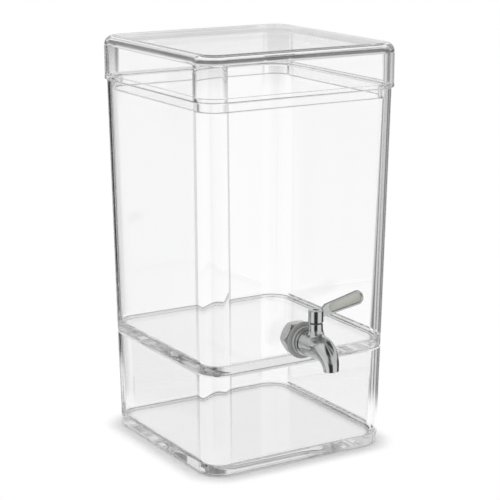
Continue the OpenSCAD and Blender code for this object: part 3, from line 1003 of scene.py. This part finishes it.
@dataclass
class Tap:
    """The tap and what holds it to the tank: gaskets, washer, nut, casting and the still valve parts."""

    finishes: Finishes
    # where the tap axis leaves the tank's wall, and how far the wall leans out for each millimetre up
    wall_y: float = 90.3331
    tap_z: float = 108.3
    lean: float = 3.7 / 225.5
    wall: float = 3.0
    # the rings on the shank, and the roundings of the edges by the wall and away from it
    gasket_r: float = 15.8
    gasket_t: float = 2.0
    gasket_soft: tuple[float, float] = (0.3, 0.6)
    gasket_gap: float = 0.01
    inner_gasket_r: float = 10.4
    inner_gasket_soft: tuple[float, float] = (0.3, 0.5)
    dress_r: float = 12.4
    dress_t: float = 2.0
    dress_soft: tuple[float, float] = (0.3, 0.7)
    hole_r: float = 8.3
    # the flange and the shank, which run into each other by the lap
    flange_r: float = 11.8
    flange_t: float = 4.2
    flange_soft: tuple[float, float] = (0.5, 0.7)
    flange_sunk: float = 0.5
    shank_r: float = 8.0
    shank_in: float = 17.5
    shank_soft: float = 0.6
    lap: float = 1.0
    inlet_r: float = 4.2
    stem_out: float = 19.1
    # the spout's middle line: a straight length that starts in the flange, a bend and a short outlet
    spout_sunk: float = 1.5
    bend_start: float = 26.9
    bend_r: float = 15.5
    bend_deg: float = 84.0
    outlet_l: float = 2.5
    straight_steps: int = 8
    bend_steps: int = 36
    outlet_steps: int = 4
    points_round: int = 72
    spout_r: tuple[float, float, float, float] = (10.6, 10.3, 6.3, 6.0)
    # the waterway: the wall round it, and the point of the middle line where it starts
    spout_wall: float = 1.4
    bore_from: int = 6
    # how far the blanks and the bore run past the faces that are cut, and the post's sunk end
    blank_over: float = 4.0
    bore_over: float = 6.0
    post_sunk: float = 3.0
    mouth: Facing = Facing(0.5, 0.55, 6.0)
    head: Facing = Facing(0.4, 0.8, 3.0)
    housing_r: float = 5.85
    housing_z: float = 127.7
    # the soft foot that the housing stands on
    foot_out: float = 1.5
    foot_z: tuple[float, float] = (118.0, 122.0)
    chamber_r: float = 4.5
    chamber_h: float = 6.0
    # grid of the welded casting, rounds and strength of fairing, and what the fairing takes off
    voxel: float = 0.3
    fair_rounds: int = 120
    fair_factor: float = 0.5
    fair_loss: float = 0.2
    crease_deg: float = 35.0
    sweep: bpy.types.NodeTree = field(default_factory=lambda: Sweep().make())

    @property
    def axis(self) -> Matrix:
        """The frame on the tank wall at the tap axis, its Z pointing out of the tank."""
        return Matrix.Translation((0, -self.wall_y, self.tap_z)) @ Matrix.Rotation(math.pi / 2, 4, "X")

    @property
    def stem(self) -> Matrix:
        """The upright frame of the valve, at height 0."""
        return Matrix.Translation((0, -self.wall_y - self.stem_out, 0))

    def path(self, over: float) -> tuple[list[Vector], list[float]]:
        """Works out the spout's middle line.

        Args:
            over: how far the line runs past the mouth.

        Returns:
            The points, and the spout's radius at each.
        """
        r0, r1, r2, r3 = self.spout_r
        start = self.gasket_t + self.dress_t + self.flange_t - self.spout_sunk
        points, radii = [], []
        for k in range(self.straight_steps + 1):
            y = -self.wall_y - start - (self.bend_start - start) * k / self.straight_steps
            points.append(Vector((0, y, self.tap_z)))
            radii.append(r0 + (r1 - r0) * k / self.straight_steps)
        bend_y, bend_z = -self.wall_y - self.bend_start, self.tap_z - self.bend_r
        for k in range(1, self.bend_steps + 1):
            turn = math.radians(self.bend_deg) * k / self.bend_steps
            y, z = bend_y - self.bend_r * math.sin(turn), bend_z + self.bend_r * math.cos(turn)
            points.append(Vector((0, y, z)))
            radii.append(r1 + (r2 - r1) * k / self.bend_steps)
        bent = points[-1]
        turn = math.radians(self.bend_deg)
        ahead = Vector((0, -math.cos(turn), -math.sin(turn)))
        for k in range(1, self.outlet_steps + 1):
            points.append(bent + ahead * (self.outlet_l + over) * k / self.outlet_steps)
            radii.append(r2 + (r3 - r2) * k / self.outlet_steps)
        return points, radii

    def tube(self, name: str, points: Sequence[Vector], radii: Sequence[float]) -> bpy.types.Object:
        """Sweeps a circle along a line.

        Args:
            name: the tube's name.
            points: the line, in millimetres.
            radii: the radius at each point, in millimetres.

        Returns:
            The tube, closed at both ends.
        """
        line = line_object(name + "_path", [p * MM for p in points])
        values = line.data.attributes.new(Sweep.RADIUS, "FLOAT", "POINT")
        values.data.foreach_set("value", [r * MM for r in radii])
        return grow(name, line, self.sweep, {"Points round": self.points_round,
                                             "Material": self.finishes.cast_steel})

    def casting(self) -> bpy.types.Object:
        """Makes the spout and the valve housing as one casting with soft inner corners, then bores it.

        Returns:
            The casting without its flange and shank.
        """
        points, radii = self.path(self.blank_over)
        spout = self.tube("spout_blank", points, [r + self.fair_loss for r in radii])
        post_r, low, high = self.housing_r + self.fair_loss, self.tap_z - self.post_sunk, self.housing_z
        post = [Corner(0, low), Corner(post_r + self.foot_out, low),
                Corner(post_r + self.foot_out, self.foot_z[0]), Corner(post_r, self.foot_z[1]),
                Corner(post_r, high + self.blank_over), Corner(0, high + self.blank_over)]
        join(spout, mesh_object("housing_blank", [turned(post, self.stem)]))
        weld = spout.modifiers.new("weld", "REMESH")
        weld.mode, weld.voxel_size, weld.use_smooth_shade = "VOXEL", self.voxel * MM, True
        fair = spout.modifiers.new("fair", "SMOOTH")
        fair.factor, fair.iterations = self.fair_factor, self.fair_rounds
        blank = settle(spout, "spout_faired")
        rim_r = self.spout_r[3]
        bore = self.path(self.bore_over)[0][self.bore_from:]
        waterway = self.tube("waterway", bore, [rim_r - self.spout_wall] * len(bore))
        ahead = points[-1] - points[-2]
        mouth_at = points[-1] - ahead.normalized() * self.blank_over
        down = Matrix.Translation(mouth_at) @ ahead.to_track_quat("Z", "Y").to_matrix().to_4x4()
        mouth = mesh_object("mouth_cut", [turned([Corner(0, 0), *self.mouth.section(rim_r, 0)], down)])
        chamber_z = high - self.chamber_h
        chamber = [Corner(0, chamber_z), Corner(self.chamber_r, chamber_z), Corner(self.chamber_r, high)]
        head = mesh_object("housing_cut", [
            turned([*chamber, *self.head.section(self.housing_r, high)], self.stem)])
        return carve(blank, [mouth, head, waterway], "spout_casting", self.crease_deg)

    def ring(self, name: str, r: float, faces: tuple[float, float],
             soft: tuple[float, float]) -> bpy.types.Object:
        """Makes a ring that sits on the shank.

        Args:
            name: the ring's name.
            r: its radius.
            faces: where its two faces lie on the tap axis.
            soft: the roundings of its outer edge at these faces.

        Returns:
            The ring.
        """
        first, last = faces
        section = [Corner(self.hole_r, first), Corner(r, first, soft[0]), Corner(r, last, soft[1]),
                   Corner(self.hole_r, last)]
        return mesh_object(name, [turned(section, self.axis, closed=True)])

    def lean_on(self, gasket: bpy.types.Object, face: float) -> None:
        """Presses a gasket against the leaning wall: it leans there, and less and less away from it.

        Args:
            gasket: the gasket.
            face: where the wall's face lies on the tap axis.
        """
        for vert in gasket.data.vertices:
            away = abs(-vert.co.y / MM - self.wall_y - face)
            share = max(0.0, 1 - away / self.gasket_t)
            vert.co.y -= self.lean * (vert.co.z - self.tap_z * MM) * share

    def build(self) -> None:
        """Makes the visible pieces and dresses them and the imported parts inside."""
        f = self.finishes
        back = self.gasket_t + self.dress_t
        front, shank_end = back + self.flange_t, -self.shank_in
        flange = [Corner(self.inlet_r, back - self.flange_sunk),
                  Corner(self.flange_r, back, self.flange_soft[0]),
                  Corner(self.flange_r, front, self.flange_soft[1]),
                  Corner(self.inlet_r, front), Corner(self.inlet_r, back + self.lap)]
        shank = [Corner(self.inlet_r, shank_end), Corner(self.shank_r, shank_end, self.shank_soft),
                 Corner(self.shank_r, back + self.lap), Corner(self.inlet_r, back + self.lap)]
        casting = self.casting()
        join(casting, mesh_object("tap_collar", [
            turned(section, self.axis, closed=True) for section in (flange, shank)]))
        casting.name = "tap_casting"
        dress(casting, Body.TANK, f.cast_steel, ["tap_body"])

        outer = self.ring("gasket_outside", self.gasket_r, (self.gasket_gap, self.gasket_t),
                          self.gasket_soft)
        self.lean_on(outer, 0)
        dress(outer, Body.TANK, f.silicone, ["outer_gasket"])
        washer = self.ring("washer_under_flange", self.dress_r, (self.gasket_t, back), self.dress_soft)
        dress(washer, Body.TANK, f.nylon_grey, ["dress_washer"])
        inside = -self.wall
        inner = self.ring("gasket_inside", self.inner_gasket_r,
                          (inside - self.gasket_gap, inside - self.gasket_t), self.inner_gasket_soft)
        self.lean_on(inner, inside)
        dress(inner, Body.TANK, f.silicone, ["inner_gasket"])
        for node, slot, material in (
                ("tap_nut", Slot.SATIN, f.turned_steel), ("valve_sleeve", Slot.PTFE, f.ptfe),
                ("spindle_o_ring", Slot.RUBBER, f.nitrile), ("gland_ring", Slot.BRASS, f.brass),
                ("thrust_washer", Slot.NYLON_BLACK, f.nylon_black),
                ("valve_spindle", Slot.SATIN, f.turned_steel),
                ("handle_screw", Slot.SATIN, f.turned_steel)):
            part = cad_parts[node]
            part.data.materials.clear()
            part.data.materials.append(material)
            log.info("packed part %s keeps its shape and gets %s", node, material.name)


# The lever


@dataclass(frozen=True)
class Disc:
    """A round corner of a flat outline: its middle, its radius and how many points it takes."""

    x: float
    y: float
    r: float
    points: int


def wrapped(discs: Sequence[Disc], inset: float) -> list[tuple[float, float]]:
    """Works out the outline wrapped round discs.

    Args:
        discs: the discs, anticlockwise, none inside the outline of the others.
        inset: how far the outline stays inside that of the whole discs.

    Returns:
        Points of (along, across), anticlockwise.
    """
    faced = []
    for one, two in zip(discs, [*discs[1:], discs[0]]):
        dx, dy = two.x - one.x, two.y - one.y
        faced.append(math.atan2(dy, dx) - math.acos((one.r - two.r) / math.hypot(dx, dy)))
    points = []
    for disc, first, last in zip(discs, [faced[-1], *faced[:-1]], faced):
        arc = (last - first) % math.tau
        for k in range(disc.points):
            angle, r = first + arc * k / (disc.points - 1), disc.r - inset
            points.append((disc.x + r * math.cos(angle), disc.y + r * math.sin(angle)))
    return points


@dataclass
class Lever:
    """The turning cap with its broad paddle."""

    finishes: Finishes
    stem: Matrix
    cap_r: float = 6.4
    cap_z: float = 128.9
    cap_top: float = 138.9
    # roundings of the cap's lower and upper edge and of the hole for the screw's head
    cap_soft: tuple[float, float, float] = (0.3, 0.6, 0.25)
    head_r: float = 2.6
    head_z: float = 136.5
    bore_r: float = 1.3
    tip_r: float = 6.1
    length: float = 47.6
    taper_deg: float = 1.9
    # the root that is sunk in the cap, and the shoulder from which the top edge falls to it
    root_x: float = 5.0
    root_up: float = 2.0
    root_r: float = 1.2
    shoulder_x: float = 11.0
    shoulder_r: float = 2.5
    thickness: float = 2.6
    rise_deg: float = 11.1
    lean_deg: float = 78.0
    down: float = 3.3
    # rounding of the paddle's edges, its steps, and how far past it the flat faces start
    edge_r: float = 1.0
    edge_steps: int = 6
    face_in: float = 0.15
    # the recess: the rim round it, the rings of its wall as distance past the rim and depth, and its end
    rim: float = 1.6
    recess: tuple[tuple[float, float], ...] = (
        (-0.25, 0.0), (-0.1, 0.04), (0.0, 0.15), (0.35, 0.6), (0.5, 0.7))
    recess_x: float = 15.6
    recess_r: float = 2.2
    # points on the roundings: those by the cap are as many for the paddle as for the recess
    tip_points: int = 30
    paddle_points: tuple[int, int, int] = (12, 8, 10)
    recess_points: tuple[int, int] = (15, 15)

    def corner(self, x: float, r: float, side: int, points: int) -> Disc:
        """Makes a disc that touches a long edge of the paddle.

        Args:
            x: where its middle lies along the paddle.
            r: its radius.
            side: the edge that it touches, +1 or -1.
            points: how many points it takes.

        Returns:
            The disc.
        """
        slope = math.radians(self.taper_deg)
        off = (self.tip_r - r - (self.length - self.tip_r - x) * math.sin(slope)) / math.cos(slope)
        return Disc(x, side * off, r, points)

    def build(self) -> None:
        """Makes the cap and the paddle as one piece and dresses it."""
        h, e = self.thickness / 2, self.edge_r
        turns = [math.pi / 2 * k / self.edge_steps for k in range(self.edge_steps + 1)]
        soft = [(e * (1 - math.sin(a)), h - e * (1 - math.cos(a))) for a in turns]
        # inset and height of each ring, from the back face over the edge and the rim into the recess
        back = [(e + self.face_in, -h), *((inset, -z) for inset, z in soft)]
        front = [*reversed(soft), (e + self.face_in, h)]
        dish = [(self.rim + past, h - depth) for past, depth in self.recess]
        tip = Disc(self.length - self.tip_r, 0, self.tip_r, self.tip_points)
        upper, root, lower = self.paddle_points
        paddle = [tip, self.corner(self.shoulder_x, self.shoulder_r, 1, upper),
                  Disc(self.root_x, self.root_up - self.root_r, self.root_r, root),
                  self.corner(self.root_x, self.root_r, -1, lower)]
        end_r = self.rim + self.recess_r
        hollow = [tip, *(self.corner(self.recess_x, end_r, side, points)
                         for side, points in zip((1, -1), self.recess_points))]
        place = (self.stem @ Matrix.Translation((0, 0, self.cap_top - self.down))
                 @ Matrix.Rotation(math.radians(-self.rise_deg), 4, "Y")
                 @ Matrix.Rotation(math.radians(self.lean_deg), 4, "X"))
        rings = [[place @ Vector((x, y, z)) for x, y in wrapped(discs, inset)]
                 for discs, rows in ((paddle, back + front), (hollow, dish)) for inset, z in rows]
        foot, brow, hole = self.cap_soft
        cap = [Corner(self.bore_r, self.cap_z), Corner(self.cap_r, self.cap_z, foot),
               Corner(self.cap_r, self.cap_top, brow), Corner(self.head_r, self.cap_top, hole),
               Corner(self.head_r, self.head_z), Corner(self.bore_r, self.head_z)]
        piece = mesh_object("lever_handle", [turned(cap, self.stem, closed=True), skin(rings)])
        for finish in (self.finishes.cast_steel, self.finishes.blasted_steel):
            piece.data.materials.append(finish)
        # the recess's floor is the face with the most corners in front of the cap's axis
        ahead = [p for p in piece.data.polygons if p.center.y < self.stem.translation.y * MM]
        max(ahead, key=lambda p: len(p.vertices)).material_index = 1
        dress(piece, Body.LEVER, self.finishes.cast_steel, ["lever"])


# The studio


@dataclass(frozen=True)
class Flag:
    """A dark card in the white surround: where its middle stands, its width, its level and its heights."""

    middle_deg: float
    half_deg: float
    level: float
    low: float = -1.1
    high: float = 0.08
    soft_deg: float = 5.0
    soft: float = 0.06


@dataclass(frozen=True)
class Slat:
    """A card that bent light meets: where it starts, is full, stops being full and ends, and its level."""

    first: float
    full: float
    hold: float
    last: float
    level: float
    # height over which the card stands
    above: float = -2.0


@dataclass
class Studio:
    """A pale floor with a contact shadow, a white surround with dark cards, and the camera."""

    # the floor ends soon, and the white surround goes on below it
    floor_z: float = -0.3
    floor_r: float = 210.0
    floor_fade: tuple[float, float] = (150.0, 200.0)
    floor_color: str = "#FDFDFD"
    floor_points: int = 96
    # the base's footprint, where its shadow fades outside it and under it, and what is left of it there
    foot_half: float = 88.4
    foot_r: float = 21.0
    shadow_out: tuple[float, float] = (1.5, 18.0)
    shadow_in: tuple[float, float] = (-9.0, -1.5)
    shadow_under: float = 0.2
    # cards that gloss mirrors: by the camera, to the right and to the left, below eye level and overhead
    flags: tuple[Flag, ...] = (
        Flag(-31, 28, 0.02), Flag(-31, 16, 0.1, 0.08, 0.5), Flag(-31, 26, 0.02, 0.5, 1.1),
        Flag(90, 28, 0.05), Flag(90, 28, 0.05, 0.5, 0.97), Flag(31, 18, 0.1, 0.58, 1.1),
        Flag(-127.5, 10.5, 0.05), Flag(-149, 12, 0.7), Flag(-172, 10, 0.05),
        Flag(-155, 42, 0.15, 0.5, 1.1), Flag(140, 40, 0.3, 0.62, 1.1))
    # the cards that bent light meets end at this height
    slat_top: tuple[float, float] = (0.36, 0.57)
    slat_soft: float = 0.03
    # the dim band over the horizon that the lid's top mirrors, and how soft its two edges are
    band_level: float = 0.87
    band_span: tuple[float, float] = (0.06, 0.5)
    band_soft: tuple[float, float] = (0.06, 0.08)
    # cards that bent light meets: by the angle from the nearest wall direction in degrees, and by height
    slats: tuple[Slat, ...] = (Slat(3, 9, 11, 18, 0.4, -0.38), Slat(2, 7, 18, 24, 0.75, -0.38),
                               Slat(65, 58, 54, 48, 0.22, -0.38), Slat(86, 78, 48, 40, 0.6, -0.38),
                               Slat(2, 7, 19, 25, 0.3, 0.12), Slat(86, 78, 45, 38, 0.3, 0.12))
    lintels: tuple[Slat, ...] = (Slat(-0.15, -0.09, 0.09, 0.16, 0.12),
                                 Slat(-0.72, -0.62, -0.5, -0.42, 0.2))
    # the camera: the way it looks, how far off it stands, what it is centred on, and its lens
    azimuth_deg: float = -31.183
    elevation_deg: float = 13.599
    distance: float = 1468.193
    target: tuple[float, float] = (2.57, 168.691)
    lens_mm: float = 121.403
    sensor_mm: float = 36.0
    shift_y: float = -0.0047
    clip_m: tuple[float, float] = (0.05, 20.0)
    # how many faces light may cross, and how many it may be mirrored by
    bounces: int = 32
    glossy_bounces: int = 16

    def floor(self) -> None:
        """Makes the floor: white to the eye, with a real shadow close to the base."""
        n = self.floor_points
        rim = [Vector((self.floor_r * math.cos(a), self.floor_r * math.sin(a), self.floor_z))
               for a in (2 * math.pi * i / n for i in range(n))]
        floor = mesh_object("floor", [(rim, [tuple(range(n))])])
        # white background paper, lit until it is as white as the surround
        material, tree = blank_material("paper_floor_white")
        place = add_node(tree, "ShaderNodeTexCoord").outputs["Object"]
        spot = add_node(tree, "ShaderNodeSeparateXYZ", {"Vector": place}).outputs
        rays = add_node(tree, "ShaderNodeLightPath").outputs
        far = add_node(tree, "ShaderNodeVectorMath", {0: place}, operation="LENGTH")
        known = {"x": spot["X"], "y": spot["Y"], "far": far.outputs["Value"],
                 "camera": rays["Is Camera Ray"], "glossy": rays["Is Glossy Ray"],
                 "through": rays["Is Transmission Ray"]}
        # distance from the edge of the footprint, below 0 under the base
        flat = (self.foot_half - self.foot_r) * MM
        work_out(tree, [("x", "ABSOLUTE", "x"), ("x", "SUBTRACT", "x", flat), ("x", "MAXIMUM", "x", 0.0),
                        ("y", "ABSOLUTE", "y"), ("y", "SUBTRACT", "y", flat), ("y", "MAXIMUM", "y", 0.0),
                        ("x", "MULTIPLY", "x", "x"), ("y", "MULTIPLY", "y", "y"), ("out", "ADD", "x", "y"),
                        ("out", "SQRT", "out"), ("out", "SUBTRACT", "out", self.foot_r * MM)], known)
        span = partial(smooth_span, tree, known)
        span("outside", "out", *(d * MM for d in self.shadow_out), 1.0, 0.0)
        span("under", "out", *(d * MM for d in self.shadow_in), self.shadow_under, 1.0)
        span("fade", "far", *(d * MM for d in self.floor_fade))
        work_out(tree, [("shadow", "MINIMUM", "outside", "under"), ("seen", "MAXIMUM", "camera", "glossy"),
                        ("seen", "MAXIMUM", "seen", "through"), ("white", "SUBTRACT", 1.0, "shadow"),
                        ("white", "MULTIPLY", "white", "seen")], known)
        paper = add_node(tree, "ShaderNodeBsdfDiffuse", {"Color": linear(self.floor_color)})
        bright = add_node(tree, "ShaderNodeEmission", {"Strength": 1.0})
        clear = add_node(tree, "ShaderNodeBsdfTransparent")
        surface = mixed(tree, known["fade"], mixed(tree, known["white"], paper, bright), clear)
        add_node(tree, "ShaderNodeOutputMaterial", {"Surface": surface.outputs[0]})
        floor.data.materials.append(material)

    def surround(self) -> None:
        """Lights the scene from all round, with dark cards that only gloss and clear edges pick up."""
        world = bpy.data.worlds.new("studio_surround")
        bpy.context.scene.world = world
        world.use_nodes = True
        tree = world.node_tree
        tree.nodes.clear()
        looking = add_node(tree, "ShaderNodeTexCoord").outputs["Generated"]
        way = add_node(tree, "ShaderNodeSeparateXYZ", {"Vector": looking}).outputs
        rays = add_node(tree, "ShaderNodeLightPath").outputs
        known = {"x": way["X"], "y": way["Y"], "z": way["Z"],
                 "glossy": rays["Is Glossy Ray"], "through": rays["Is Transmission Ray"]}
        span = partial(smooth_span, tree, known)
        # the look's azimuth, its turn from the nearest wall direction, and two kinds of card to add to
        work_out(tree, [("back", "MULTIPLY", "y", -1.0), ("azimuth", "ARCTAN2", "x", "back"),
                        ("side", "ABSOLUTE", "x"), ("ahead", "ABSOLUTE", "y"),
                        ("fold", "ARCTAN2", "side", "ahead"), ("turn", "DEGREES", "fold"),
                        ("mirrored", "SUBTRACT", "glossy", "through"),
                        ("cards", "MULTIPLY", "z", 0.0), ("slats", "MULTIPLY", "z", 0.0)], known)
        for flag in self.flags:
            work_out(tree, [("aside", "SUBTRACT", "azimuth", math.radians(flag.middle_deg)),
                            ("aside", "COSINE", "aside")], known)
            span("card", "aside", math.cos(math.radians(flag.half_deg + flag.soft_deg)),
                 math.cos(math.radians(flag.half_deg - flag.soft_deg)), last=1 - flag.level)
            span("above", "z", flag.low - flag.soft, flag.low + flag.soft)
            span("below", "z", flag.high + flag.soft, flag.high - flag.soft)
            work_out(tree, [("card", "MULTIPLY", "card", "above"), ("card", "MULTIPLY", "card", "below"),
                            ("cards", "MAXIMUM", "cards", "card")], known)
        for source, slats in (("turn", self.slats), ("z", self.lintels)):
            for slat in slats:
                span("start", source, slat.first, slat.full)
                span("end", source, slat.last, slat.hold, last=1 - slat.level)
                span("over", "z", slat.above - self.slat_soft, slat.above + self.slat_soft)
                work_out(tree, [("slat", "MULTIPLY", "start", "end"), ("slat", "MULTIPLY", "slat", "over"),
                                ("slats", "MAXIMUM", "slats", "slat")], known)
        low, high = self.band_span
        span("top", "z", self.slat_top[1], self.slat_top[0])
        span("above", "z", low - self.band_soft[0], low)
        span("below", "z", high + self.band_soft[1], high)
        work_out(tree, [("band", "MULTIPLY", "above", "below"),
                        ("band", "MULTIPLY", "band", 1 - self.band_level),
                        ("cards", "MAXIMUM", "cards", "band"),
                        ("cards", "MULTIPLY", "cards", "mirrored"), ("slats", "MULTIPLY", "slats", "top"),
                        ("slats", "MULTIPLY", "slats", "through"), ("dark", "MAXIMUM", "cards", "slats"),
                        ("level", "SUBTRACT", 1.0, "dark")], known)
        light = add_node(tree, "ShaderNodeBackground", {"Color": known["level"], "Strength": 1.0})
        add_node(tree, "ShaderNodeOutputWorld", {"Surface": light.outputs["Background"]})

    def camera(self) -> None:
        """Sets the camera where the photograph was taken from."""
        data = bpy.data.cameras.new("camera")
        data.sensor_width, data.lens, data.shift_y = self.sensor_mm, self.lens_mm, self.shift_y
        data.clip_start, data.clip_end = self.clip_m
        camera = link_object("camera", data)
        side, height = self.target
        turn = (Matrix.Rotation(math.radians(self.azimuth_deg), 4, "Z")
                @ Matrix.Rotation(math.radians(90 - self.elevation_deg), 4, "X"))
        camera.matrix_world = Matrix.Translation((0, 0, height * MM)) @ turn @ Matrix.Translation(
            (side * MM, 0, self.distance * MM))
        bpy.context.scene.camera = camera

    def build(self) -> None:
        """Makes the floor, the surround and the camera, and lets light pass many clear walls."""
        for name in ("Cube", "Light", "Camera"):
            if name in bpy.data.objects:
                bpy.data.objects.remove(bpy.data.objects[name])
        scene = bpy.context.scene
        scene.view_settings.view_transform = "Standard"
        for name in ("max_bounces", "transmission_bounces", "transparent_max_bounces"):
            setattr(scene.cycles, name, self.bounces)
        scene.cycles.glossy_bounces = self.glossy_bounces
        self.floor()
        self.surround()
        self.camera()
        log.info("studio: floor, surround and camera")


def main() -> None:
    logging.basicConfig(level=logging.INFO, format="%(name)s: %(message)s")
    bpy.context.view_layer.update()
    Studio().build()
    finishes = Finishes()
    shared = Mouldings(finishes, Loft().make())
    Base(shared).build()
    Tank(shared).build()
    Lid(shared).build()
    tap = Tap(finishes)
    tap.build()
    Lever(finishes, tap.stem).build()


if __name__ == "__main__":
    main()
